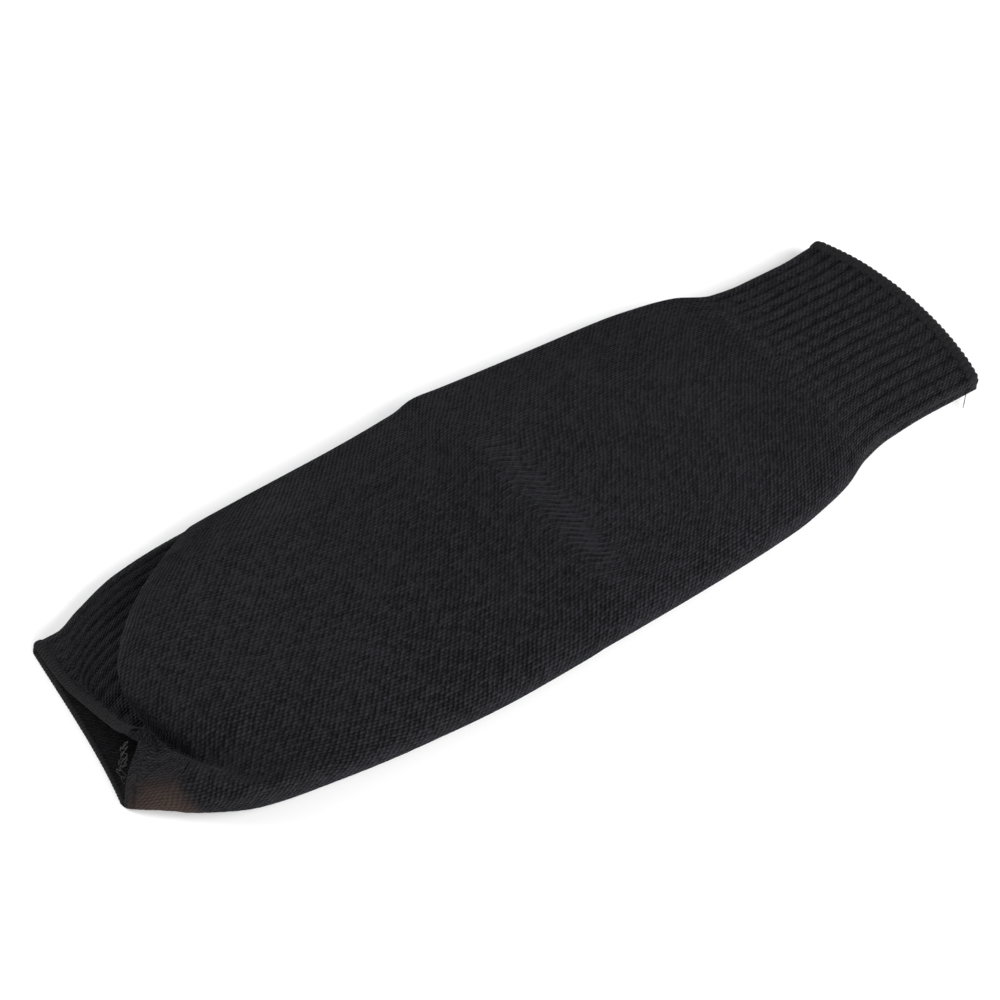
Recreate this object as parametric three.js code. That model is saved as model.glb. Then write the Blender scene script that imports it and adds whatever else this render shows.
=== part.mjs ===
// Knitted cut resistant sleeve, lying flat as it was put down.
// Millimetres. +X runs from the wrist to the upper arm, +Y to the far side, +Z up.
// The origin is under the middle of the sleeve, on the surface that it lies on.

import * as THREE from 'three';

// Overall sizes
const LENGTH = 363.2;
const BODY_WIDTH = 134.5;
const BODY_HEIGHT = 18;

// Wrist end: a cuff that stands open on its near side
const WRIST_WIDTH = 75;
const WRIST_SHIFT = 5.5;
const WRIST_FLARE = 60;
const MOUTH_HEIGHT = 19;
const MOUTH_LEAN = 0.5;
const WRIST_SKEW = 2.8;
const CORNER_POWER = 4;

// The body's top layer bulges over the wrist cuff, and its front sweeps back to both sides
const BULGE_REACH = 16;
const BULGE_FRONT = 4;
const BULGE_SWEEP_FAR = 56;
const BULGE_SWEEP_NEAR = 12;
const SWEEP_POWER_FAR = 3;
const SWEEP_POWER_NEAR = 1.5;

// Fold marks across the middle of the body
const CREASE_RISE = 1.3;
const CREASE_WIDTH = 12;
const CREASE_FADE = 0.12;

// Upper arm end
const CUFF_WIDTH = 92.4;
const CUFF_SHIFT = 2.8;
const CUFF_LENGTH = 69;
const CUFF_HEIGHT = 10.8;
const CUFF_BOW = 4.8;
const CUFF_SKEW = 4.5;

// Fabric
const BODY_WALL = 1.8;
const CUFF_WALL = 2.2;
const RIBS_ROUND = 40;
const RIB_DEPTH = 0.8;
const EDGE_WIDTH = 3.4;
const EDGE_THICKNESS = 2.8;
const EDGE_PROUD = 0.4;
const FOLD_SQUARENESS = 2.4;

// Clear gap between two pieces, and a wider one where slanting facets face each other
const GAP = 0.3;
const SLANT_GAP = 0.7;

// Mesh fineness
const BODY_SIDES = 48;
const ROLL_SIDES = 8;
const CUFF_STEPS = 4;
const TRACE_STEPS = 360;
const PROBE = 0.2;
const TURN_PROBE = 0.0015;

// Length along the far side, and of the plain knit between the bulge and the upper cuff
const RUN = LENGTH - WRIST_SKEW;
const BODY_SPAN = RUN - CUFF_LENGTH - BULGE_REACH;

// The upper rim bows outwards and its far corner lies back. Its foremost point ends the sleeve.
const rimBow = (share) => CUFF_BOW * 4 * share * (1 - share) - CUFF_SKEW * (1 - share) ** 2;
const RIM_PEAK = (2 * CUFF_BOW + CUFF_SKEW) / (4 * CUFF_BOW + CUFF_SKEW);
const ARM_RIM = RUN - rimBow(RIM_PEAK);
const CUFF_START = RUN - CUFF_LENGTH;

// Far and near fold of the wrist, the body and the upper cuff, measured across
const WRIST = { far: WRIST_WIDTH / 2 + WRIST_SHIFT, near: -WRIST_WIDTH / 2 + WRIST_SHIFT };
const BODY = { far: BODY_WIDTH / 2, near: -BODY_WIDTH / 2 };
const ARM = { far: CUFF_WIDTH / 2 + CUFF_SHIFT, near: -CUFF_WIDTH / 2 + CUFF_SHIFT };

// Outline from above. Far and near are shares of the way out from the end's fold to the body's.
const OUTLINE = [
  { along: 0.00 * WRIST_FLARE, end: WRIST, far: 0.00, near: 0.00 },
  { along: 0.15 * WRIST_FLARE, end: WRIST, far: 0.00, near: 0.19 },
  { along: 0.32 * WRIST_FLARE, end: WRIST, far: 0.18, near: 0.45 },
  { along: 0.63 * WRIST_FLARE, end: WRIST, far: 0.47, near: 0.72 },
  { along: 1.00 * WRIST_FLARE, end: WRIST, far: 0.61, near: 0.83 },
  { along: 0.25 * RUN, end: WRIST, far: 0.68, near: 0.94 },
  { along: 0.36 * RUN, end: WRIST, far: 0.76, near: 1.00 },
  { along: 0.44 * RUN, end: WRIST, far: 0.88, near: 0.98 },
  { along: 0.471 * RUN, end: WRIST, far: 1.00, near: 0.96 },
  { along: 0.50 * RUN, end: ARM, far: 0.94, near: 0.93 },
  { along: 0.60 * RUN, end: ARM, far: 0.82, near: 0.87 },
  { along: RUN - 1.55 * CUFF_LENGTH, end: ARM, far: 0.71, near: 0.75 },
  { along: RUN - 1.29 * CUFF_LENGTH, end: ARM, far: 0.57, near: 0.60 },
  { along: RUN - 1.12 * CUFF_LENGTH, end: ARM, far: 0.42, near: 0.46 },
  { along: RUN - 0.92 * CUFF_LENGTH, end: ARM, far: 0.07, near: 0.20 },
  { along: RUN - 0.72 * CUFF_LENGTH, end: ARM, far: 0.00, near: 0.06 },
  { along: RUN - 0.40 * CUFF_LENGTH, end: ARM, far: 0.00, near: 0.00 },
  { along: RUN - 0.10 * CUFF_LENGTH, end: ARM, far: 0.10, near: 0.00 },
];

// Places across the top layer where each section gives its height: 0 is the far fold, 1 the near
const ACROSS = [0, 0.25, 0.5, 0.8, 1];

// Sections along the middle of the top layer. Heights are shares of the height named in of.
// Sweep is the share of the bulge's sweep, lean of the mouth's, and steps the body's mesh steps
// to the next section.
const SECTIONS = [
  {
    name: 'wrist rim', along: 0, sweep: 0, lean: 1,
    of: MOUTH_HEIGHT, heights: [0.34, 0.40, 0.57, 1.00, 0.36],
  },
  {
    name: 'behind the rim', along: EDGE_WIDTH + SLANT_GAP, sweep: 0, lean: 1,
    of: MOUTH_HEIGHT, heights: [0.34, 0.39, 0.54, 0.98, 0.39],
  },
  {
    name: 'cuff ridge', along: 0.50 * BULGE_REACH, sweep: 0.5, lean: 0.9,
    of: MOUTH_HEIGHT, heights: [0.34, 0.37, 0.46, 0.90, 0.56],
  },
  {
    name: 'foot of the bulge', along: BULGE_REACH, sweep: 1, lean: 0.5, steps: 3,
    of: BODY_HEIGHT, heights: [0.36, 0.38, 0.40, 0.56, 0.74],
  },
  {
    name: 'front of the bulge', along: BULGE_REACH + BULGE_FRONT, sweep: 1, lean: 0, steps: 2,
    of: BODY_HEIGHT, heights: [0.39, 0.80, 0.84, 0.80, 0.76],
  },
  {
    name: 'back of the bulge', along: BULGE_REACH + 0.05 * BODY_SPAN, sweep: 1, lean: 0, steps: 3,
    of: BODY_HEIGHT, heights: [0.42, 0.93, 0.97, 0.90, 0.72],
  },
  {
    name: 'wrist third', along: BULGE_REACH + 0.17 * BODY_SPAN, sweep: 0.68, lean: 0, steps: 5,
    of: BODY_HEIGHT, heights: [0.44, 0.93, 0.98, 0.92, 0.58],
  },
  {
    name: 'before the creases', along: BULGE_REACH + 0.44 * BODY_SPAN, sweep: 0, lean: 0, steps: 8,
    of: BODY_HEIGHT, heights: [0.46, 0.88, 1.00, 0.92, 0.50],
  },
  {
    name: 'after the creases', along: BULGE_REACH + 0.62 * BODY_SPAN, sweep: 0, lean: 0, steps: 3,
    of: BODY_HEIGHT, heights: [0.44, 0.86, 1.00, 0.94, 0.50],
  },
  {
    name: 'before the shoulder', along: BULGE_REACH + 0.86 * BODY_SPAN, sweep: 0, lean: 0, steps: 4,
    of: BODY_HEIGHT, heights: [0.42, 0.76, 0.88, 0.86, 0.48],
  },
  {
    name: 'shoulder', along: CUFF_START, sweep: 0, lean: 0,
    of: CUFF_HEIGHT, heights: [0.68, 1.00, 1.14, 1.12, 0.72],
  },
  {
    name: 'upper cuff', along: CUFF_START + 0.35 * CUFF_LENGTH, sweep: 0, lean: 0,
    of: CUFF_HEIGHT, heights: [0.64, 0.90, 1.00, 0.94, 0.64],
  },
  {
    name: 'upper rim', along: ARM_RIM, sweep: 0, lean: 0,
    of: CUFF_HEIGHT, heights: [0.64, 0.92, 1.00, 0.92, 0.64],
  },
];

// Fold marks across the top: a groove has a negative rise. Far and near are shares of the length,
// rise and width of the creases' own sizes, and the mark runs from one share of the way across to
// another.
const CREASES = [
  { far: 0.462, near: 0.365, rise: -1.00, width: 0.58, from: 0.00, to: 0.86 },
  { far: 0.485, near: 0.492, rise: 0.70, width: 0.42, from: 0.30, to: 1.00 },
  { far: 0.455, near: 0.440, rise: -0.70, width: 1.00, from: 0.45, to: 0.95 },
];

// Smooth curve through the given values that never overshoots them
function curve(places, values) {
  const count = places.length;
  const slopes = [];
  for (let i = 0; i < count - 1; i += 1) {
    slopes.push((values[i + 1] - values[i]) / (places[i + 1] - places[i]));
  }
  const tangents = [slopes[0]];
  for (let i = 1; i < count - 1; i += 1) {
    const before = slopes[i - 1];
    const after = slopes[i];
    tangents.push(before * after > 0 ? (2 * before * after) / (before + after) : 0);
  }
  tangents.push(slopes[count - 2]);
  return (place) => {
    const at = THREE.MathUtils.clamp(place, places[0], places[count - 1]);
    let i = 0;
    while (i < count - 2 && at > places[i + 1]) i += 1;
    const span = places[i + 1] - places[i];
    const t = (at - places[i]) / span;
    const rest = 1 - t;
    return values[i] * rest * rest * (1 + 2 * t)
      + values[i + 1] * t * t * (3 - 2 * t)
      + span * t * rest * (rest * tangents[i] - t * tangents[i + 1]);
  };
}

const outlineAt = OUTLINE.map((row) => row.along);
const foldCurve = (side) => curve(
  outlineAt,
  OUTLINE.map((row) => THREE.MathUtils.lerp(row.end[side], BODY[side], row[side])),
);
const farFold = foldCurve('far');
const nearFold = foldCurve('near');

const sectionAt = SECTIONS.map((row) => row.along);
const sweepAt = curve(sectionAt, SECTIONS.map((row) => row.sweep));
const leanAt = curve(sectionAt, SECTIONS.map((row) => row.lean));
const heightsAt = ACROSS.map((_, i) => curve(
  sectionAt,
  SECTIONS.map((row) => row.heights[i] * row.of),
));

// How far the bulge's front lies back from its foremost point, round the sleeve
function bulgeSweep(share, isTop) {
  if (!isTop) return THREE.MathUtils.lerp(BULGE_SWEEP_FAR, BULGE_SWEEP_NEAR, share);
  const side = Math.abs(2 * share - 1);
  if (share < 0.5) return BULGE_SWEEP_FAR * side ** SWEEP_POWER_FAR;
  return BULGE_SWEEP_NEAR * side ** SWEEP_POWER_NEAR;
}

// Rise of the top layer at the fold marks
function creaseRise(along, share) {
  const { lerp, smoothstep } = THREE.MathUtils;
  let rise = 0;
  for (const crease of CREASES) {
    const off = (along - RUN * lerp(crease.far, crease.near, share)) / (CREASE_WIDTH * crease.width);
    const start = smoothstep(share, crease.from - CREASE_FADE, crease.from + CREASE_FADE);
    const end = smoothstep(share, crease.to - CREASE_FADE, crease.to + CREASE_FADE);
    rise += CREASE_RISE * crease.rise * Math.exp(-off * off) * start * (1 - end);
  }
  return rise;
}

// A point of the outer surface. Turn goes round the sleeve: 0 is the far fold, a quarter the
// middle of the top, a half the near fold. Each section is a flat-bottomed pillow with round folds.
function surface(along, turn) {
  const angle = turn * 2 * Math.PI;
  const share = (1 - Math.cos(angle)) / 2;
  const isTop = Math.sin(angle) >= 0;
  const heights = heightsAt.map((height) => height(along));
  const swept = along + sweepAt(along) * bulgeSweep(share, isTop);
  const far = farFold(swept);
  const near = nearFold(swept);

  // The two layers meet at the folds, over half of the fold's height
  const foldHeight = share < 0.5 ? heights[0] : heights[heights.length - 1];
  const inFromFold = Math.min(share, 1 - share) * (far - near) / (foldHeight / 2);
  const fill = (1 - Math.max(0, 1 - inFromFold) ** FOLD_SQUARENESS) ** (1 / FOLD_SQUARENESS);
  let height = curve(ACROSS, heights)(share);
  if (isTop) height += creaseRise(swept, share);
  const z = (height / 2) * (isTop ? 1 + fill : 1 - fill);

  // The upper rim is bowed, the standing wrist rim leans back and its near corner lies furthest out
  const cuffShare = THREE.MathUtils.clamp((along - CUFF_START) / (ARM_RIM - CUFF_START), 0, 1);
  const bow = cuffShare * rimBow(share);
  const lean = leanAt(along) * MOUTH_LEAN * z * Math.sqrt(z / MOUTH_HEIGHT);
  const skew = WRIST_SKEW * (1 - leanAt(along) * share ** CORNER_POWER);
  const x = swept + bow + lean + skew - LENGTH / 2;
  return new THREE.Vector3(x, THREE.MathUtils.lerp(far, near, share), z);
}

// The surface's outward normal and its direction along the sleeve
function frameAt(along, turn) {
  const ahead = surface(along + PROBE, turn).sub(surface(along - PROBE, turn)).normalize();
  const round = surface(along, turn + TURN_PROBE).sub(surface(along, turn - TURN_PROBE));
  const out = round.cross(ahead).normalize();
  return { ahead, out };
}

// Turns that lie evenly round the sleeve at one place along it
function evenTurns(along, count) {
  const lengths = [0];
  let last = surface(along, 0);
  for (let i = 1; i <= TRACE_STEPS; i += 1) {
    const next = surface(along, i / TRACE_STEPS);
    lengths.push(lengths[i - 1] + next.distanceTo(last));
    last = next;
  }
  const turns = [];
  let i = 0;
  for (let k = 0; k < count; k += 1) {
    const wanted = (k / count) * lengths[TRACE_STEPS];
    while (lengths[i + 1] < wanted) i += 1;
    turns.push((i + (wanted - lengths[i]) / (lengths[i + 1] - lengths[i])) / TRACE_STEPS);
  }
  return turns;
}

// Outer and inner ring of the fabric at one place along the sleeve. Each groove is a share of depth.
function wallRing(along, turns, wall, depthOf) {
  const outer = [];
  const inner = [];
  turns.forEach((turn, i) => {
    const { out } = frameAt(along, turn);
    const point = surface(along, turn);
    outer.push(point.clone().addScaledVector(out, -depthOf(i)));
    inner.push(point.clone().addScaledVector(out, -wall));
  });
  return { outer, inner };
}

// Closed skin over a grid of rings. Both ways round it ends where it starts.
function closedGrid(rings) {
  const round = rings[0].length;
  const positions = rings.flat().flatMap((point) => point.toArray());
  const faces = [];
  for (let i = 0; i < rings.length; i += 1) {
    const here = i * round;
    const next = ((i + 1) % rings.length) * round;
    for (let j = 0; j < round; j += 1) {
      const k = (j + 1) % round;
      faces.push(here + j, here + k, next + k);
      faces.push(here + j, next + k, next + j);
    }
  }
  const geometry = new THREE.BufferGeometry();
  geometry.setAttribute('position', new THREE.Float32BufferAttribute(positions, 3));
  geometry.setIndex(faces);
  geometry.computeVertexNormals();
  return geometry;
}

// Tube of fabric through rings: out along the outer skin and back along the inner one
function tubeWall(rings) {
  const outer = rings.map((ring) => ring.outer);
  const inner = rings.map((ring) => ring.inner).reverse();
  return closedGrid([...outer, ...inner]);
}

// Rolled edge that runs round a rim, sampled like the end of the cuff that it faces. Its outer
// side is flush below and a little proud on top.
function rolledEdge(along, cuffEnd) {
  const rings = [];
  const spines = evenTurns(cuffEnd, 2 * RIBS_ROUND).map((turn) => {
    const { ahead, out } = frameAt(along, turn);
    const depth = EDGE_THICKNESS / 2 - EDGE_PROUD * Math.max(0, out.z);
    return { ahead, out, middle: surface(along, turn).addScaledVector(out, -depth) };
  });
  for (let i = 0; i < ROLL_SIDES; i += 1) {
    const angle = (i / ROLL_SIDES) * 2 * Math.PI;
    rings.push(spines.map(({ ahead, out, middle }) => middle.clone()
      .addScaledVector(out, (EDGE_THICKNESS / 2) * Math.cos(angle))
      .addScaledVector(ahead, (EDGE_WIDTH / 2) * Math.sin(angle))));
  }
  return closedGrid(rings);
}

// Ribbed cuff between two places along the sleeve
function ribbedCuff(start, end) {
  const rings = [];
  for (let i = 0; i <= CUFF_STEPS; i += 1) {
    const along = THREE.MathUtils.lerp(start, end, i / CUFF_STEPS);
    const turns = evenTurns(along, 2 * RIBS_ROUND);
    rings.push(wallRing(along, turns, CUFF_WALL, (k) => RIB_DEPTH * (k % 2)));
  }
  return tubeWall(rings);
}

// Plain knitted body, with rings at each section and in steps between them
function plainBody(start, end) {
  const turns = [];
  for (let i = 0; i < BODY_SIDES; i += 1) turns.push(i / BODY_SIDES);
  const places = [start];
  SECTIONS.forEach(({ along: from, steps = 0 }, i) => {
    for (let k = 0; k < steps; k += 1) {
      const along = THREE.MathUtils.lerp(from, SECTIONS[i + 1].along, k / steps);
      if (along > start) places.push(along);
    }
  });
  places.push(end);
  return tubeWall(places.map((along) => wallRing(along, turns, BODY_WALL, () => 0)));
}

const plainKnit = new THREE.MeshStandardMaterial({ color: 0x1f1f22, roughness: 0.92, metalness: 0 });
const ribKnit = new THREE.MeshStandardMaterial({ color: 0x1c1c1f, roughness: 0.94, metalness: 0 });
const edgeThread = new THREE.MeshStandardMaterial({ color: 0x222225, roughness: 0.9, metalness: 0 });

const sleeve = new THREE.Group();

function addPiece(name, geometry, material) {
  const piece = new THREE.Mesh(geometry, material);
  piece.name = name;
  sleeve.add(piece);
}

const wristCuffStart = EDGE_WIDTH + SLANT_GAP;
const wristCuffEnd = BULGE_REACH - SLANT_GAP / 2;
const upperCuffEnd = ARM_RIM - EDGE_WIDTH - SLANT_GAP;
addPiece('wrist_edge', rolledEdge(EDGE_WIDTH / 2, wristCuffStart), edgeThread);
addPiece('wrist_cuff', ribbedCuff(wristCuffStart, wristCuffEnd), ribKnit);
addPiece('sleeve_body', plainBody(BULGE_REACH + SLANT_GAP / 2, CUFF_START - GAP / 2), plainKnit);
addPiece('upper_cuff', ribbedCuff(CUFF_START + GAP / 2, upperCuffEnd), ribKnit);
addPiece('upper_edge', rolledEdge(ARM_RIM - EDGE_WIDTH / 2, upperCuffEnd), edgeThread);

// The origin lies under the middle of the whole
const middle = new THREE.Box3().setFromObject(sleeve).getCenter(new THREE.Vector3());
sleeve.position.set(-middle.x, -middle.y, 0);

export default sleeve;
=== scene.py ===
"""Looks of a knitted cut resistant sleeve, lying flat as it was put down.

Lengths are millimetres until a mesh is made. +X runs from the wrist to the upper arm, +Y to the
far side and +Z up from the surface that it lies on.
"""

import math

import bpy
import numpy as np
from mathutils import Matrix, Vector


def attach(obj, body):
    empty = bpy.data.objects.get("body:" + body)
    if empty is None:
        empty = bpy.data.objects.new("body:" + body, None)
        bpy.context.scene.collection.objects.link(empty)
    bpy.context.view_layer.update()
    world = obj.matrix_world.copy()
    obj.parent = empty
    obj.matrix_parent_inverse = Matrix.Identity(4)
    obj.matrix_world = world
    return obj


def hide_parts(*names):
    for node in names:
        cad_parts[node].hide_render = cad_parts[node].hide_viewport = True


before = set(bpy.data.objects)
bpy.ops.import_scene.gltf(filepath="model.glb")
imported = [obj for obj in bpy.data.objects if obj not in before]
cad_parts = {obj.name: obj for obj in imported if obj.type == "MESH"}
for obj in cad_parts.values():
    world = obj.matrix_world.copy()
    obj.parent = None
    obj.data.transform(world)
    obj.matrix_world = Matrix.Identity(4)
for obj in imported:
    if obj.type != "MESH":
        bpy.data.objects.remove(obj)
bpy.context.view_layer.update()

MM = 0.001

# Overall sizes
LENGTH = 363.2
BODY_WIDTH = 134.5
BODY_HEIGHT = 18.0

# Wrist end: a cuff that stands open on its near side
WRIST_WIDTH = 75.0
WRIST_SHIFT = 5.5
WRIST_FLARE = 60.0
MOUTH_HEIGHT = 19.0
MOUTH_LEAN = 0.5
WRIST_SKEW = 2.8
CORNER_POWER = 4

# The lip's crest curls back from the mouth: reach, then place and width as shares of the way across
CREST_CURL = 4.0
CREST_PLACE = 0.84
CREST_WIDTH = 0.06

# The body's top layer bulges over the wrist cuff, and its front sweeps back to both sides
BULGE_REACH = 13.5
BULGE_FRONT = 4.0
BULGE_SWEEP_FAR = 56.0
BULGE_SWEEP_NEAR = 23.0
SWEEP_POWER_FAR = 2.2
SWEEP_POWER_NEAR = 1.5
BULGE_TUCK = 3.6
TUCK_FADE = (0.5, 0.72)

# On the near side the plain knit starts at a share of the bulge's reach, past a share of the way
# across. The near wall rounds off over a narrower strip there, and less and less along the flare
NEAR_CUFF = 0.42
NEAR_CUFF_FADE = (0.7, 1.0)
NEAR_WALL = 0.5
NEAR_WALL_FADE = (0.5, 1.4)

# Fold marks across the middle of the body
CREASE_RISE = 1.3
CREASE_WIDTH = 12.0
CREASE_FADE = 0.12

# Upper arm end
CUFF_WIDTH = 92.4
CUFF_SHIFT = 2.8
CUFF_LENGTH = 69.0
CUFF_HEIGHT = 10.8
CUFF_BOW = 4.8
CUFF_SKEW = 4.5

# Fabric
BODY_WALL = 1.8
CUFF_WALL = 2.2
RIBS_ROUND = 37
UPPER_RIB_DEPTH = 0.95
WRIST_RIB_DEPTH = 0.42
EDGE_WIDTH = 3.4
EDGE_THICKNESS = 2.8
EDGE_PROUD = 0.4
RIB_FADE = 20.0
FOLD_SQUARENESS = 2.4

# The roll's gap to the cuff where it leans, and how far the cuffs run on past the plain knit's ends
SLANT_GAP = 0.7
LAP = 0.4

# Stitches: a wale is a column of stitches along the sleeve, a course a row round it. Wraps are the
# turns of thread round each rolled edge
BODY_WALES = 106
CUFF_WALES = 3 * RIBS_ROUND
COURSE = 1.95
WALE_RELIEF = 0.16
WRIST_WRAPS = 118
UPPER_WRAPS = 76

# Loose yarns: start, reach and spread in millimetres and the height of the wave. None lies lower
# than their rest height
THREAD_RADIUS = 0.11
THREAD_WAVES = 5
THREAD_WAVE_WAY = (0.3, 0.4, 0.6)
THREAD_REST = 0.3
LOOSE_THREADS = [
    ((-171.8, -20.5, 16.0), (-2.0, 2.0, -5.5), (0.8, 0.3, 0.4), 0.8),
    ((-172.8, -21.8, 14.0), (-1.5, 3.0, -4.5), (0.3, 0.5, 0.6), 0.6),
    ((-171.0, -19.5, 17.0), (-2.5, 1.5, -4.0), (0.6, 0.4, 0.2), 0.7),
    ((-174.3, -23.3, 11.0), (-1.2, 4.0, -2.5), (0.5, 0.2, 0.5), 0.7),
    ((-175.8, -25.0, 7.5), (-1.5, 3.5, 0.5), (0.4, 0.3, 0.7), 0.5),
    ((-173.2, -22.3, 13.0), (-3.0, 1.5, -6.0), (0.2, 0.6, 0.3), 0.9),
    ((-176.5, -26.3, 5.0), (-0.5, 2.5, 1.5), (0.4, 0.2, 0.3), 0.5),
]
THREAD_TAILS = [
    ((170.5, -43.0, 3.0), (-4.5, -4.0, -2.0), (0.4, 0.3, 0.3), 0.4),
]

# A stain on the near wall of the wrist, in metres
STAIN_PLACE = (-0.170, -0.038, 0.0)
STAIN_RADIUS = 0.019
STAIN_COLOUR = (0.042, 0.027, 0.021, 1)
STAIN_STRENGTH = 0.7
STAIN_WANDER = 0.012

# Shares of the knit's tone: broad patches, fibres, each stitch's own tone, a painted highlight on
# the wales of the stretched band, and painted shade in the grooves. The inside counts as a deeper
# groove and takes more painted shade
BROAD_TONE = 0.35
FIBRE_TONE = 2.2
STITCH_TONE = 0.6
WALE_HIGHLIGHT = 0.35
GROOVE_SHADE = -0.25
INSIDE_SHADE = 2.4
LIGHT_TONE = 1.2
TONE_RANGE = 1.4

# Colour at the dark end of the knit's tone, where painted shade falls between the stitches, then
# the knit's roughness, and the depth of the stitches' and the thread's bump
KNIT_DARK = (0.0002, 0.0002, 0.0004, 1)
ROUGHNESS = 0.9
KNIT_BUMP = 0.45
THREAD_BUMP = 0.35

# Mesh fineness: columns lie four to a plain wale and six to a rib wale, so that none is skipped.
# Rings are given as outer rings, inner rings and the power law of the inner ones' places
BODY_COLUMNS = 4 * BODY_WALES
CUFF_COLUMNS = 6 * CUFF_WALES
BODY_RINGS = (212, 22, 1.8)
WRIST_RINGS = (60, 30, 1.3)
UPPER_RINGS = (72, 12, 1.3)
TRACE = 480
LENGTH_TRACE = 1600
SHARP_ANGLE = 65

# Length along the far side, and of the plain knit between the bulge and the upper cuff. The shift
# brings the middle of the sleeve's box to the origin
RUN = LENGTH - WRIST_SKEW
CENTRE_SHIFT = -0.35
BODY_SPAN = RUN - CUFF_LENGTH - BULGE_REACH
CUFF_START = RUN - CUFF_LENGTH


def rim_bow(share):
    """The upper rim bows outwards in a parabola and its far corner lies back by a square law."""
    return CUFF_BOW * 4 * share * (1 - share) - CUFF_SKEW * (1 - share) ** 2


RIM_PEAK = (2 * CUFF_BOW + CUFF_SKEW) / (4 * CUFF_BOW + CUFF_SKEW)
ARM_RIM = RUN - rim_bow(RIM_PEAK)

# Far and near fold of the wrist, the body and the upper cuff, measured across
WRIST = (WRIST_WIDTH / 2 + WRIST_SHIFT, -WRIST_WIDTH / 2 + WRIST_SHIFT)
BODY = (BODY_WIDTH / 2, -BODY_WIDTH / 2)
ARM = (CUFF_WIDTH / 2 + CUFF_SHIFT, -CUFF_WIDTH / 2 + CUFF_SHIFT)

# Outline from above: place along, the end it belongs to, then the far and the near side as shares
# of the way out from that end's fold to the body's
OUTLINE = [
    (0.00 * WRIST_FLARE, WRIST, 0.00, -0.04),
    (0.15 * WRIST_FLARE, WRIST, 0.00, 0.19),
    (0.32 * WRIST_FLARE, WRIST, 0.18, 0.45),
    (0.63 * WRIST_FLARE, WRIST, 0.47, 0.72),
    (1.00 * WRIST_FLARE, WRIST, 0.61, 0.83),
    (0.25 * RUN, WRIST, 0.68, 0.94),
    (0.36 * RUN, WRIST, 0.76, 1.00),
    (0.44 * RUN, WRIST, 0.88, 0.98),
    (0.471 * RUN, WRIST, 1.00, 0.96),
    (0.50 * RUN, ARM, 0.94, 0.93),
    (0.60 * RUN, ARM, 0.82, 0.87),
    (RUN - 1.55 * CUFF_LENGTH, ARM, 0.71, 0.75),
    (RUN - 1.29 * CUFF_LENGTH, ARM, 0.57, 0.60),
    (RUN - 1.12 * CUFF_LENGTH, ARM, 0.42, 0.46),
    (RUN - 0.92 * CUFF_LENGTH, ARM, 0.07, 0.20),
    (RUN - 0.72 * CUFF_LENGTH, ARM, 0.00, 0.06),
    (RUN - 0.40 * CUFF_LENGTH, ARM, 0.00, 0.00),
    (RUN - 0.10 * CUFF_LENGTH, ARM, 0.10, 0.00),
]

# Places across the top layer where each section gives its height: 0 is the far fold, 1 the near
ACROSS = [0, 0.25, 0.5, 0.7, 0.82, 0.9, 1]

# Sections: place along, share of the bulge's sweep, of the mouth's lean, of the bulge's tuck (its
# foot lies back under its front), the height meant, and the heights across as shares of it
BEND = BULGE_REACH + BULGE_FRONT
SECTIONS = [
    (0.0, 0, 1, 0, MOUTH_HEIGHT, [0.30, 0.37, 0.64, 0.88, 1.00, 0.44, 0.16]),
    (EDGE_WIDTH + SLANT_GAP, 0, 1, 0, MOUTH_HEIGHT, [0.32, 0.37, 0.60, 0.84, 1.00, 0.84, 0.24]),
    (
        0.55 * BULGE_REACH, 0.5, 0.4, 0.1, MOUTH_HEIGHT,
        [0.34, 0.36, 0.52, 0.72, 0.89, 0.88, 0.60],
    ),
    (BULGE_REACH, 1, 0.1, 1, BODY_HEIGHT, [0.36, 0.38, 0.40, 0.44, 0.49, 0.66, 0.80]),
    (BEND, 1, 0, 0, BODY_HEIGHT, [0.39, 0.80, 0.84, 0.74, 0.53, 0.60, 0.74]),
    (
        BULGE_REACH + 0.05 * BODY_SPAN, 1, 0, 0, BODY_HEIGHT,
        [0.42, 0.93, 0.97, 0.90, 0.66, 0.66, 0.68],
    ),
    (
        BULGE_REACH + 0.17 * BODY_SPAN, 0.68, 0, 0, BODY_HEIGHT,
        [0.44, 0.93, 0.98, 0.95, 0.84, 0.75, 0.54],
    ),
    (
        BULGE_REACH + 0.44 * BODY_SPAN, 0, 0, 0, BODY_HEIGHT,
        [0.46, 0.88, 1.00, 0.97, 0.87, 0.76, 0.50],
    ),
    (
        BULGE_REACH + 0.62 * BODY_SPAN, 0, 0, 0, BODY_HEIGHT,
        [0.44, 0.86, 1.00, 0.98, 0.88, 0.78, 0.50],
    ),
    (
        BULGE_REACH + 0.86 * BODY_SPAN, 0, 0, 0, BODY_HEIGHT,
        [0.42, 0.76, 0.88, 0.89, 0.81, 0.72, 0.48],
    ),
    (CUFF_START, 0, 0, 0, CUFF_HEIGHT, [0.68, 1.00, 1.14, 1.14, 1.08, 0.98, 0.72]),
    (
        CUFF_START + 0.35 * CUFF_LENGTH, 0, 0, 0, CUFF_HEIGHT,
        [0.64, 0.90, 1.00, 0.97, 0.90, 0.83, 0.64],
    ),
    (ARM_RIM, 0, 0, 0, CUFF_HEIGHT, [0.64, 0.92, 1.00, 0.96, 0.89, 0.82, 0.64]),
]

# Fold marks across the top: far and near place as shares of the length, rise and width of the
# creases' own sizes, and the shares of the way across between which the mark runs
CREASES = [
    (0.462, 0.365, -1.00, 0.58, 0.00, 0.86),
    (0.485, 0.492, 0.70, 0.42, 0.30, 1.00),
    (0.455, 0.440, -0.70, 1.00, 0.45, 0.95),
]

# Stretched band of the knit on top: far and near place as shares of the length, its half width
# in millimetres, the shares of the way across between which it runs, and those over which it fades
# in and out. There the wales are pulled sideways by some wales' width, and ease back over a reach
# in millimetres
STRETCH = (0.485, 0.51, 8.5, 0.20, 0.96)
STRETCH_FADES = (0.35, 0.2)
PULL = 3.0
PULL_REACH = 90.0


# ---- Shape of the sleeve


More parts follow.
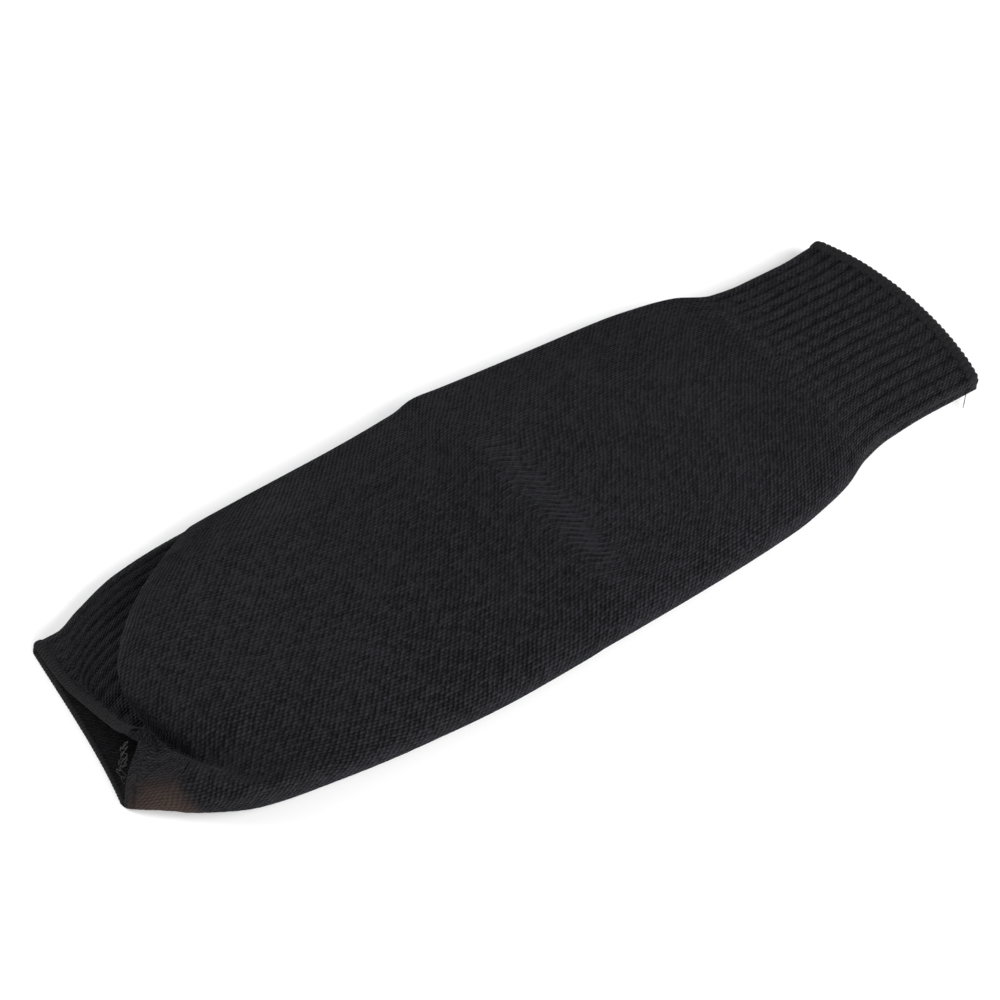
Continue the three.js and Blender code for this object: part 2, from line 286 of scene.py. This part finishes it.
def through(places, values, at):
    """Smooth curve through values at places, read at each number of at.

    Each span is a cubic. The slope at a place is the harmonic mean of the spans' slopes beside
    it, or zero where they differ in sign, so the curve never overshoots. Values hold one number a
    place, or a row a place with one number for each of at.
    """
    places = np.asarray(places, float)
    values = np.asarray(values, float)
    if values.ndim == 1:
        values = np.broadcast_to(values[:, None], (len(values), at.size))
    slopes = np.diff(values, axis=0) / np.diff(places)[:, None]
    before, after = slopes[:-1], slopes[1:]
    agree = before * after > 0
    middle = np.where(agree, 2 * before * after / np.where(agree, before + after, 1), 0)
    tangents = np.concatenate([slopes[:1], middle, slopes[-1:]])
    at = np.clip(at, places[0], places[-1])
    i = np.clip(np.searchsorted(places, at) - 1, 0, len(places) - 2)
    span = places[i + 1] - places[i]
    t = (at - places[i]) / span
    rest = 1 - t
    n = np.arange(at.size)
    return (
        values[i, n] * rest * rest * (1 + 2 * t)
        + values[i + 1, n] * t * t * (3 - 2 * t)
        + span * t * rest * (rest * tangents[i, n] - t * tangents[i + 1, n])
    )


def smoothstep(low, high, x):
    """0 below low, 1 above high, and a cubic ease between."""
    t = np.clip((x - low) / (high - low), 0, 1)
    return t * t * (3 - 2 * t)


def bulge_sweep(share, is_top):
    """How far the bulge's front lies back: a power law of the way out from the middle on top, a
    straight line from the far to the near side below."""
    side = np.abs(2 * share - 1)
    far = BULGE_SWEEP_FAR * side**SWEEP_POWER_FAR
    near = BULGE_SWEEP_NEAR * side**SWEEP_POWER_NEAR
    below = BULGE_SWEEP_FAR + (BULGE_SWEEP_NEAR - BULGE_SWEEP_FAR) * share
    return np.where(is_top, np.where(share < 0.5, far, near), below)


def crease_rise(along, share):
    """Rise of the fold marks: each is a bell curve across its line, faded at both its ends."""
    rise = np.zeros_like(along)
    for far, near, height, width, start, end in CREASES:
        off = (along - RUN * (far + (near - far) * share)) / (CREASE_WIDTH * width)
        fade = smoothstep(start - CREASE_FADE, start + CREASE_FADE, share)
        fade = fade * (1 - smoothstep(end - CREASE_FADE, end + CREASE_FADE, share))
        rise += CREASE_RISE * height * np.exp(-off * off) * fade
    return rise


def sleeve_surface(along, turn):
    """Point of the outer surface at a place along and a turn round the sleeve.

    Turn 0 is the far fold, a quarter the middle of the top, a half the near fold. The share of
    the way across is half of one minus the cosine of the turn. Each section is a pillow that is
    flat below and closes at its folds along a superellipse.
    """
    shape = np.broadcast(along, turn).shape
    along = np.broadcast_to(along, shape).ravel().astype(float)
    turn = np.broadcast_to(turn, shape).ravel().astype(float)
    angle = turn * 2 * math.pi
    share = (1 - np.cos(angle)) / 2
    is_top = np.sin(angle) >= 0
    at = [row[0] for row in SECTIONS]
    sweep, lean, tuck = (through(at, [row[k] for row in SECTIONS], along) for k in (1, 2, 3))
    heights = [
        through(at, [row[4] * row[5][k] for row in SECTIONS], along) for k in range(len(ACROSS))
    ]
    swept = along + sweep * bulge_sweep(share, is_top)
    outline_at = [row[0] for row in OUTLINE]
    far, near = (
        through(
            outline_at,
            [row[1][k] + (BODY[k] - row[1][k]) * row[2 + k] for row in OUTLINE],
            swept,
        )
        for k in (0, 1)
    )
    fold_height = np.where(share < 0.5, heights[0], heights[-1])
    wall_start, wall_end = NEAR_WALL_FADE
    wall = (share > 0.5) * (1 - smoothstep(wall_start, wall_end, along / WRIST_FLARE))
    wall = NEAR_WALL * wall * smoothstep(0, BULGE_REACH, along)
    in_from_fold = np.minimum(share, 1 - share) * (far - near) / (fold_height / 2 * (1 - wall))
    fill = (1 - np.maximum(0, 1 - in_from_fold) ** FOLD_SQUARENESS) ** (1 / FOLD_SQUARENESS)
    height = through(ACROSS, heights, share)
    height = height + np.where(is_top, crease_rise(swept, share), 0)
    z = height / 2 * np.where(is_top, 1 + fill, 1 - fill)
    cuff_share = np.clip((along - CUFF_START) / (ARM_RIM - CUFF_START), 0, 1)
    x = swept + cuff_share * rim_bow(share) - LENGTH / 2 + CENTRE_SHIFT
    x += lean * MOUTH_LEAN * z * np.sqrt(z / MOUTH_HEIGHT)
    x += WRIST_SKEW * (1 - lean * share**CORNER_POWER)
    crest = np.exp(-(((share - CREST_PLACE) / CREST_WIDTH) ** 2))
    x += np.where(is_top, lean * CREST_CURL * crest, 0)
    x += np.where(is_top, tuck * BULGE_TUCK * fill * (1 - smoothstep(*TUCK_FADE, share)), 0)
    y = far + (near - far) * share
    return np.stack([x, y, z], -1).reshape(*shape, 3)


def plain_start(turn):
    """Place along where the plain knit begins: the bulge's foot, and nearer the rim on the near
    side."""
    share = (1 - np.cos(turn * 2 * math.pi)) / 2
    return BULGE_REACH * (1 - (1 - NEAR_CUFF) * smoothstep(*NEAR_CUFF_FADE, share))


def sleeve_rings(start, end, count, columns, line=0.3):
    """Rings of points, outward normals and places along between two edges of the sleeve.

    Start and end give the place along at each turn. The rings are evenly spaced on the line of
    one turn, and each ring's points lie evenly round the sleeve. Normals come from central
    differences.
    """

    def along(t, turn):
        return start(turn) + (end(turn) - start(turn)) * t

    fine = np.linspace(0, 1, LENGTH_TRACE)
    steps = np.diff(sleeve_surface(along(fine, np.full(fine.size, line)), line), axis=0)
    gone = np.concatenate([[0], np.cumsum(np.linalg.norm(steps, axis=1))])
    t = np.interp(np.linspace(0, gone[-1], count), gone, fine)[:, None]
    trace = np.linspace(0, 1, TRACE + 1)
    steps = np.diff(sleeve_surface(along(t, trace), trace), axis=1)
    gone = np.cumsum(np.linalg.norm(steps, axis=2), axis=1)
    gone = np.concatenate([np.zeros((count, 1)), gone], axis=1)
    wanted = np.arange(columns) / columns
    turns = np.array([np.interp(wanted * row[-1], row, trace) for row in gone])
    places = along(t, turns)
    points, out, _ = ring_frame(places, turns)
    return points, out, places, turns


def ring_frame(along, turns):
    """Points, outward normals and directions along the sleeve, by central differences."""
    step, turn_step = 0.2, 0.0015
    points = sleeve_surface(along, turns)
    ahead = sleeve_surface(along + step, turns) - sleeve_surface(along - step, turns)
    round_ = sleeve_surface(along, turns + turn_step) - sleeve_surface(along, turns - turn_step)
    out = np.cross(round_, ahead)
    out /= np.linalg.norm(out, axis=-1, keepdims=True)
    ahead /= np.linalg.norm(ahead, axis=-1, keepdims=True)
    return points, out, ahead


def level(place):
    """An edge of the sleeve that lies at one place along at every turn."""
    return lambda turn: np.full_like(turn, place, dtype=float)


# ---- Meshes


def grid_piece(name, points, uv, material, replaces):
    """Closed skin over rings of points, joined both ways round. The map runs on over the seam."""
    rows, columns = points.shape[:2]
    i, j = np.meshgrid(np.arange(rows), np.arange(columns), indexing="ij")
    i1, j1 = (i + 1) % rows, (j + 1) % columns
    faces = np.stack([i * columns + j, i * columns + j1, i1 * columns + j1, i1 * columns + j], -1)
    mesh = bpy.data.meshes.new(name)
    mesh.from_pydata(points.reshape(-1, 3) * MM, [], faces.reshape(-1, 4))
    uv = np.concatenate([uv, uv[:1]])
    corners = np.stack([uv[i, j], uv[i, j + 1], uv[i + 1, j + 1], uv[i + 1, j]], 2)
    layer = mesh.uv_layers.new(name="knit")
    layer.data.foreach_set("uv", corners.reshape(-1).astype(np.float32))
    mesh.polygons.foreach_set("use_smooth", np.ones(rows * columns, bool))
    mesh.set_sharp_from_angle(angle=math.radians(SHARP_ANGLE))
    piece = bpy.data.objects.new(name, mesh)
    bpy.context.scene.collection.objects.link(piece)
    mesh.materials.append(material)
    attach(piece, "root")
    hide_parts(replaces)
    return piece


def give(piece, name, values):
    """Give each point of a piece a number that its material reads."""
    layer = piece.data.attributes.new(name, "FLOAT", "POINT")
    layer.data.foreach_set("value", values.ravel().astype(np.float32))


def stitch_map(points, columns, wales, start_row):
    """Wales round and courses along. Courses count the distance along each wale from one ring."""
    steps = np.linalg.norm(np.diff(points, axis=0), axis=2)
    gone = np.concatenate([np.zeros((1, points.shape[1])), np.cumsum(steps, axis=0)])
    courses = (gone - gone[start_row]) / COURSE
    courses = np.concatenate([courses, courses[:, :1]], axis=1)
    round_ = np.broadcast_to(np.linspace(0, wales, columns + 1), courses.shape)
    return np.stack([round_, courses], -1)


def wale_relief(columns, wales, pull=0.0):
    """Height round the sleeve of the two legs of each wale, between its edges and its middle.
    Where wales are pulled sideways they follow the pull, and the legs are left to the bump."""
    place = np.arange(columns) / columns * wales
    leg = (np.abs(np.sin(2 * math.pi * place)) - 0.5) * (1 - smoothstep(0, 0.25, pull))
    return leg - 0.25 * np.cos(2 * math.pi * (place - pull))


def rib_grooves(columns):
    """Depth round a cuff: broad round ribs with narrow grooves between them."""
    place = np.arange(columns) / columns * RIBS_ROUND
    return 1 - np.abs(np.cos(math.pi * place)) ** 0.9


def inner_rows(rings, count, power):
    """Rings that the inner skin follows on the way back, closer by a power law where a piece
    starts. The wrist end bends sharply, and a coarser body skin would come through there. A small
    point of the wrist cuff's inner skin still does, at the crest of its lip."""
    return np.unique(np.round((rings - 1) * np.linspace(0, 1, count) ** power).astype(int))[::-1]


def plain_body(material):
    """Plain knitted tube: the outer skin raised by its wales, then the inner skin on the way back.
    The ribs of the upper cuff fade out in its end."""
    rings, inner_count, power = BODY_RINGS
    points, out, along, turns = sleeve_rings(plain_start, level(CUFF_START), rings, BODY_COLUMNS)
    stretch, pull = stretched(along, turns)
    relief = WALE_RELIEF * wale_relief(BODY_COLUMNS, BODY_WALES, pull)
    grooves = UPPER_RIB_DEPTH * rib_grooves(BODY_COLUMNS) * upper_rib_share(along)
    outer = points + out * (relief - grooves)[..., None]
    picked = inner_rows(rings, inner_count, power)
    inner = points[picked] - out[picked] * BODY_WALL
    uv = stitch_map(points, BODY_COLUMNS, BODY_WALES, -1)
    uv[:, :-1, 0] -= pull
    piece = grid_piece(
        "body_knit",
        np.concatenate([outer, inner]),
        np.concatenate([uv, uv[picked]]),
        material,
        "sleeve_body",
    )
    # The stretch also sets a painted highlight along the wales in the knit's colour
    give(piece, "stretch", np.concatenate([stretch, 0 * stretch[picked]]))
    # Painted shade for the knit's colour: darker in the rib grooves, darkest on the inner skin
    shade = grooves / UPPER_RIB_DEPTH
    give(piece, "painted_shade", np.concatenate([shade, np.full_like(shade[picked], INSIDE_SHADE)]))


def stretched(along, turn):
    """Stretch of the knit, and how many wales it is pulled sideways. The stretch is a bell curve
    across a slanting line on top, where the fabric pulls between the two fold marks. The pull
    rises across that line and eases back past it."""
    share = (1 - np.cos(turn * 2 * math.pi)) / 2
    far, near, width, start, end = STRETCH
    off = along - RUN * (far + (near - far) * share)
    fade_in, fade_out = STRETCH_FADES
    fade = smoothstep(start, start + fade_in, share) * (1 - smoothstep(end - fade_out, end, share))
    fade = fade * (turn < 0.5)
    pull = smoothstep(-width, width, off) * (1 - smoothstep(width, PULL_REACH, off))
    return np.exp(-((off / width) ** 2)) * fade, PULL * pull * fade


def upper_rib_share(along):
    """How deep the upper cuff's ribs are: they start before the shoulder and deepen slowly."""
    return smoothstep(CUFF_START - 0.8 * RIB_FADE, CUFF_START + RIB_FADE, along)


def ribbed_cuff(name, start, end, fineness, depth, material, replaces, first_row):
    """Ribbed cuff: grooves are sunk in the outer skin, and the inner skin is plain."""
    rings, inner_count, power = fineness
    points, out, along, turns = sleeve_rings(start, end, rings, CUFF_COLUMNS)
    relief = 0.5 * WALE_RELIEF * wale_relief(CUFF_COLUMNS, CUFF_WALES)
    grooves = rib_grooves(CUFF_COLUMNS) * depth(along, turns)
    outer = points + out * (relief - grooves)[..., None]
    picked = inner_rows(rings, inner_count, power)
    inner = points[picked] - out[picked] * CUFF_WALL
    uv = stitch_map(points, CUFF_COLUMNS, CUFF_WALES, first_row)
    piece = grid_piece(
        name,
        np.concatenate([outer, inner]),
        np.concatenate([uv, uv[picked]]),
        material,
        replaces,
    )
    # Painted shade for the knit's colour: darker in the rib grooves, darkest on the inner skin
    shade = grooves / UPPER_RIB_DEPTH
    give(piece, "painted_shade", np.concatenate([shade, np.full_like(shade[picked], INSIDE_SHADE)]))


def rolled_edge(name, along, wraps, size, breadth, material, replaces):
    """Overcast roll round a rim: an oval carried round it, swollen at each slanting thread wrap.
    Its size is a share of the edge's own, given for each turn, and it is broader than thick."""
    columns, sides = 8 * wraps, 16
    _, _, _, turns = sleeve_rings(level(along), level(along + 0.1), 2, columns)
    turns = turns[0]
    middle, out, ahead = ring_frame(np.full(columns, along), turns)
    depth = EDGE_THICKNESS / 2 - EDGE_PROUD * np.maximum(0, out[:, 2:])
    middle = middle - out * depth
    side = np.arange(sides)[:, None] / sides
    column = np.arange(columns)[None, :] / columns
    wrap = np.abs(np.sin(math.pi * (wraps * column + side)))
    swell = (0.8 + 0.22 * wrap**0.7) * size(turns)
    angle = 2 * math.pi * side
    across = (EDGE_THICKNESS / 2 * np.cos(angle) * swell)[..., None] * out
    along_ = (breadth * EDGE_WIDTH / 2 * np.sin(angle) * swell)[..., None] * ahead
    points = middle + across + along_
    uv = np.stack(np.broadcast_arrays(np.linspace(0, wraps, columns + 1)[None, :], side), -1)
    grid_piece(name, points, uv, material, replaces)


def thread_loops(name, loops, material):
    """Loose yarns at the rims, all in one mesh. Each is a thin round tube along a narrow closed
    loop that leaves the rim and comes back to it: a cosine of the way round gives the reach, a
    sine the spread and a faster sine the waves."""
    count, sides = 48, 6
    t = np.arange(count) / count * 2 * math.pi
    side = np.arange(sides) / sides * 2 * math.pi
    points, faces = [], []
    i, j = np.meshgrid(np.arange(count), np.arange(sides), indexing="ij")
    i1, j1 = (i + 1) % count, (j + 1) % sides
    quads = np.stack([i * sides + j, i * sides + j1, i1 * sides + j1, i1 * sides + j], -1)
    for start, reach, spread, wave in loops:
        reach, spread = np.array(reach, float), np.array(spread, float)
        way = (1 - np.cos(t)) / 2
        path = np.array(start) + way[:, None] * reach + np.sin(t)[:, None] * spread
        path = path + (wave * np.sin(THREAD_WAVES * t) * way)[:, None] * np.array(THREAD_WAVE_WAY)
        path[:, 2] = np.maximum(path[:, 2], THREAD_REST)
        ahead = np.roll(path, -1, axis=0) - np.roll(path, 1, axis=0)
        ahead /= np.linalg.norm(ahead, axis=1, keepdims=True)
        across = np.cross(ahead, [0.36, 0.48, 0.8])
        across /= np.linalg.norm(across, axis=1, keepdims=True)
        up = np.cross(ahead, across)
        ring = np.cos(side)[:, None] * across[:, None] + np.sin(side)[:, None] * up[:, None]
        faces.append(quads.reshape(-1, 4) + len(points) * count * sides)
        points.append((path[:, None] + THREAD_RADIUS * ring).reshape(-1, 3))
    mesh = bpy.data.meshes.new(name)
    mesh.from_pydata(np.concatenate(points) * MM, [], np.concatenate(faces))
    mesh.polygons.foreach_set("use_smooth", np.ones(len(mesh.polygons), bool))
    piece = bpy.data.objects.new(name, mesh)
    bpy.context.scene.collection.objects.link(piece)
    mesh.materials.append(material)
    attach(piece, "root")


def lip_size(turn):
    """The wrist's lip is thick on top, from its far corner to the crest, and thin elsewhere."""
    return 0.8 + 0.45 * smoothstep(0.0, 0.06, turn) * (1 - smoothstep(0.33, 0.37, turn))


def upper_roll_size(turn):
    """The upper rim's roll is a little thicker on top."""
    return 1.0 + 0.25 * smoothstep(0.0, 0.04, turn) * (1 - smoothstep(0.46, 0.5, turn))


# ---- Materials


def knit_material(name, light, depth):
    """Knit whose wales and courses are read from the piece's own map.

    Across a wale each of its two legs is half a sine wave. One leg of a stitch lies over the
    other, so the yarns show as slanting rows: a sine wave of the wale and the course added. The
    stitch's height also darkens the colour in its hollows, as painted shade. Each stitch has its
    own tone. Where the knit is stretched the rows close up, and a painted highlight runs along
    every wale. Painted shade darkens the grooves between ribs, and more so the inside of the
    sleeve.
    """
    material = bpy.data.materials.new(name)
    material.use_nodes = True
    nodes, links = material.node_tree.nodes, material.node_tree.links
    shader = nodes["Principled BSDF"]

    def calc(operation, a, b=0.0, c=0.0):
        node = nodes.new("ShaderNodeMath")
        node.operation = operation
        for socket, source in zip(node.inputs, (a, b, c)):
            if isinstance(source, (int, float)):
                socket.default_value = source
            else:
                links.new(source, socket)
        return node.outputs[0]

    # Noise about zero, with a scale per metre
    def noise(scale, detail=2.0):
        node = nodes.new("ShaderNodeTexNoise")
        node.inputs["Scale"].default_value = scale
        node.inputs["Detail"].default_value = detail
        links.new(coordinates, node.inputs["Vector"])
        return calc("SUBTRACT", node.outputs["Fac"], 0.5)

    def attribute(name):
        node = nodes.new("ShaderNodeAttribute")
        node.attribute_name = name
        return node.outputs["Fac"]

    uv = nodes.new("ShaderNodeUVMap")
    uv.uv_map = "knit"
    place = nodes.new("ShaderNodeSeparateXYZ")
    links.new(uv.outputs[0], place.inputs[0])
    coordinates = nodes.new("ShaderNodeTexCoord").outputs["Object"]
    stretch, painted_shade = attribute("stretch"), attribute("painted_shade")

    wander = calc("MULTIPLY", noise(60, 1.0), 0.5)
    wale = calc("ADD", place.outputs["X"], wander)
    course = calc("ADD", place.outputs["Y"], wander)
    aside = calc("ABSOLUTE", calc("SUBTRACT", calc("FRACT", wale), 0.5))
    leg = calc("POWER", calc("SINE", calc("MULTIPLY", aside, 2 * math.pi)), 0.45)
    row = calc("SINE", calc("MULTIPLY", calc("ADD", wale, course), 2 * math.pi))
    hollow = calc("POWER", calc("MULTIPLY_ADD", row, -0.5, 0.5), 0.8)
    hollow = calc("MULTIPLY", hollow, calc("MULTIPLY_ADD", stretch, -0.7 * depth, depth))
    stitch = calc("MULTIPLY", leg, calc("SUBTRACT", 1.0, hollow))
    fibre = noise(1500, 3.0)
    height = calc("MULTIPLY_ADD", fibre, 0.5, stitch)

    cell = nodes.new("ShaderNodeCombineXYZ")
    links.new(calc("FLOOR", calc("MULTIPLY", wale, 2.0)), cell.inputs["X"])
    links.new(calc("FLOOR", calc("ADD", course, wale)), cell.inputs["Y"])
    own = nodes.new("ShaderNodeTexWhiteNoise")
    own.noise_dimensions = "2D"
    links.new(cell.outputs[0], own.inputs["Vector"])
    wale_highlight = calc("SINE", calc("MULTIPLY", place.outputs["X"], 2 * math.pi))

    # The stitch's height starts the tone, so its hollows are darker: painted shade between the
    # yarns
    tone = calc("MULTIPLY_ADD", noise(22, 3.0), BROAD_TONE, stitch)
    tone = calc("MULTIPLY_ADD", fibre, FIBRE_TONE, tone)
    own_tone = calc("SUBTRACT", own.outputs["Value"], 0.5)
    tone = calc("MULTIPLY_ADD", own_tone, STITCH_TONE, tone)
    # Painted highlight along each wale of the stretched band
    tone = calc("MULTIPLY_ADD", calc("MULTIPLY", stretch, wale_highlight), WALE_HIGHLIGHT, tone)
    # Painted shade: darker in the grooves, and darker still inside the sleeve
    tone = calc("MULTIPLY_ADD", painted_shade, GROOVE_SHADE, tone)
    ramp = nodes.new("ShaderNodeValToRGB")
    ramp.color_ramp.elements[0].position = 0.0
    ramp.color_ramp.elements[0].color = KNIT_DARK
    ramp.color_ramp.elements[1].position = LIGHT_TONE / TONE_RANGE
    ramp.color_ramp.elements[1].color = (*light, 1)
    links.new(calc("MULTIPLY", tone, 1 / TONE_RANGE), ramp.inputs["Fac"])

    # A brown stain near the wrist's near corner, with a soft edge
    away = nodes.new("ShaderNodeVectorMath")
    away.operation = "DISTANCE"
    away.inputs[1].default_value = STAIN_PLACE
    links.new(coordinates, away.inputs[0])
    edge = nodes.new("ShaderNodeMapRange")
    edge.interpolation_type = "SMOOTHSTEP"
    edge.inputs["From Min"].default_value = STAIN_RADIUS
    edge.inputs["From Max"].default_value = 0.1 * STAIN_RADIUS
    ragged = calc("MULTIPLY_ADD", noise(90), STAIN_WANDER, away.outputs["Value"])
    links.new(ragged, edge.inputs["Value"])
    stain = nodes.new("ShaderNodeMix")
    stain.data_type = "RGBA"
    links.new(calc("MULTIPLY", edge.outputs["Result"], STAIN_STRENGTH), stain.inputs[0])
    links.new(ramp.outputs["Color"], stain.inputs[6])
    stain.inputs[7].default_value = STAIN_COLOUR
    links.new(stain.outputs[2], shader.inputs["Base Color"])

    links.new(calc("MULTIPLY_ADD", stitch, -0.12, ROUGHNESS), shader.inputs["Roughness"])
    shader.inputs["Specular IOR Level"].default_value = 0.08
    shader.inputs["Sheen Weight"].default_value = 0.024
    shader.inputs["Sheen Roughness"].default_value = 0.4
    shader.inputs["Sheen Tint"].default_value = (0.78, 0.8, 0.9, 1)

    bump = nodes.new("ShaderNodeBump")
    bump.inputs["Strength"].default_value = 1.0
    bump.inputs["Distance"].default_value = KNIT_BUMP * MM
    links.new(height, bump.inputs["Height"])
    links.new(bump.outputs["Normal"], shader.inputs["Normal"])
    return material


def thread_material(name, dark, light):
    """Overcast thread with fine fibres."""
    material = bpy.data.materials.new(name)
    material.use_nodes = True
    nodes, links = material.node_tree.nodes, material.node_tree.links
    shader = nodes["Principled BSDF"]
    coordinates = nodes.new("ShaderNodeTexCoord").outputs["Object"]
    fibre = nodes.new("ShaderNodeTexNoise")
    fibre.inputs["Scale"].default_value = 2200
    fibre.inputs["Detail"].default_value = 3
    links.new(coordinates, fibre.inputs["Vector"])
    ramp = nodes.new("ShaderNodeValToRGB")
    ramp.color_ramp.elements[0].position = 0.25
    ramp.color_ramp.elements[0].color = (*dark, 1)
    ramp.color_ramp.elements[1].position = 0.75
    ramp.color_ramp.elements[1].color = (*light, 1)
    links.new(fibre.outputs["Fac"], ramp.inputs["Fac"])
    links.new(ramp.outputs["Color"], shader.inputs["Base Color"])
    shader.inputs["Roughness"].default_value = 0.85
    shader.inputs["Specular IOR Level"].default_value = 0.08
    shader.inputs["Sheen Weight"].default_value = 0.012
    shader.inputs["Sheen Roughness"].default_value = 0.4
    bump = nodes.new("ShaderNodeBump")
    bump.inputs["Strength"].default_value = 0.6
    bump.inputs["Distance"].default_value = THREAD_BUMP * MM
    links.new(fibre.outputs["Fac"], bump.inputs["Height"])
    links.new(bump.outputs["Normal"], shader.inputs["Normal"])
    return material


plain_knit = knit_material("plain_knit", (0.0136, 0.0136, 0.0172), 0.68)
rib_knit = knit_material("rib_knit", (0.0156, 0.0156, 0.0189), 0.58)
edge_thread = thread_material("edge_thread", (0.001, 0.001, 0.0013), (0.0165, 0.0165, 0.018))
loose_thread = thread_material("loose_thread", (0.01, 0.01, 0.01), (0.05, 0.05, 0.05))

plain_body(plain_knit)
ribbed_cuff(
    "wrist_cuff_knit",
    level(0.5 * EDGE_WIDTH),
    lambda turn: plain_start(turn) + LAP,
    WRIST_RINGS,
    lambda along, turns: WRIST_RIB_DEPTH * (1 - 0.7 * smoothstep(0.33, 0.45, turns)),
    rib_knit,
    "wrist_cuff",
    0,
)
ribbed_cuff(
    "upper_cuff_knit",
    level(CUFF_START - LAP),
    level(ARM_RIM - 0.5 * EDGE_WIDTH),
    UPPER_RINGS,
    lambda along, turns: UPPER_RIB_DEPTH * upper_rib_share(along),
    rib_knit,
    "upper_cuff",
    -1,
)
rolled_edge(
    "wrist_edge_wrap", EDGE_WIDTH / 2, WRIST_WRAPS, lip_size, 1.0, edge_thread, "wrist_edge"
)
rolled_edge(
    "upper_edge_wrap",
    ARM_RIM - 0.95 * EDGE_WIDTH,
    UPPER_WRAPS,
    upper_roll_size,
    1.3,
    edge_thread,
    "upper_edge",
)
thread_loops("loose_threads", LOOSE_THREADS, loose_thread)
thread_loops("thread_tails", THREAD_TAILS, edge_thread)

# ---- Floor, lights and camera


def plain_floor():
    """Pale floor just under the sleeve."""
    half, below = 4.0, -0.0001
    mesh = bpy.data.meshes.new("floor")
    corners = [(-half, -half), (half, -half), (half, half), (-half, half)]
    mesh.from_pydata([(x, y, below) for x, y in corners], [], [(0, 1, 2, 3)])
    floor = bpy.data.objects.new("floor", mesh)
    bpy.context.scene.collection.objects.link(floor)
    material = bpy.data.materials.new("floor_white")
    material.use_nodes = True
    shader = material.node_tree.nodes["Principled BSDF"]
    shader.inputs["Base Color"].default_value = (0.9, 0.9, 0.9, 1)
    shader.inputs["Roughness"].default_value = 0.9
    mesh.materials.append(material)


def softbox(name, place, size, power):
    """Square area light at a place, in metres, turned to the sleeve's middle."""
    light = bpy.data.lights.new(name, "AREA")
    light.size = size
    light.energy = power
    lamp = bpy.data.objects.new(name, light)
    lamp.location = place
    lamp.rotation_euler = (-Vector(place)).to_track_quat("-Z", "Y").to_euler()
    bpy.context.scene.collection.objects.link(lamp)


plain_floor()
bpy.context.scene.view_settings.view_transform = "Standard"
world = bpy.data.worlds.new("studio")
bpy.context.scene.world = world
world.use_nodes = True
world.node_tree.nodes["Background"].inputs["Color"].default_value = (1, 1, 1, 1)
world.node_tree.nodes["Background"].inputs["Strength"].default_value = 0.29
softbox("key_right", (0.85, -0.85, 0.5), 0.9, 27)
softbox("low_near", (-0.35, -1.15, 0.35), 0.8, 19)
softbox("fill_back", (-0.6, 1.0, 0.5), 0.9, 23)

# The camera looks down at the sleeve from its near wrist side, as the photograph does
CAMERA_PLACE = (-0.28585, -0.4177, 0.6218)
CAMERA_AIM = (-0.00545, 0.0115, 0.0)
camera = bpy.data.objects.new("camera", bpy.data.cameras.new("camera"))
camera.data.lens = 79.2
camera.data.sensor_width = 36
camera.location = CAMERA_PLACE
camera.rotation_euler = (
    (Vector(CAMERA_AIM) - Vector(CAMERA_PLACE)).to_track_quat("-Z", "Y").to_euler()
)
bpy.context.scene.collection.objects.link(camera)
bpy.context.scene.camera = camera
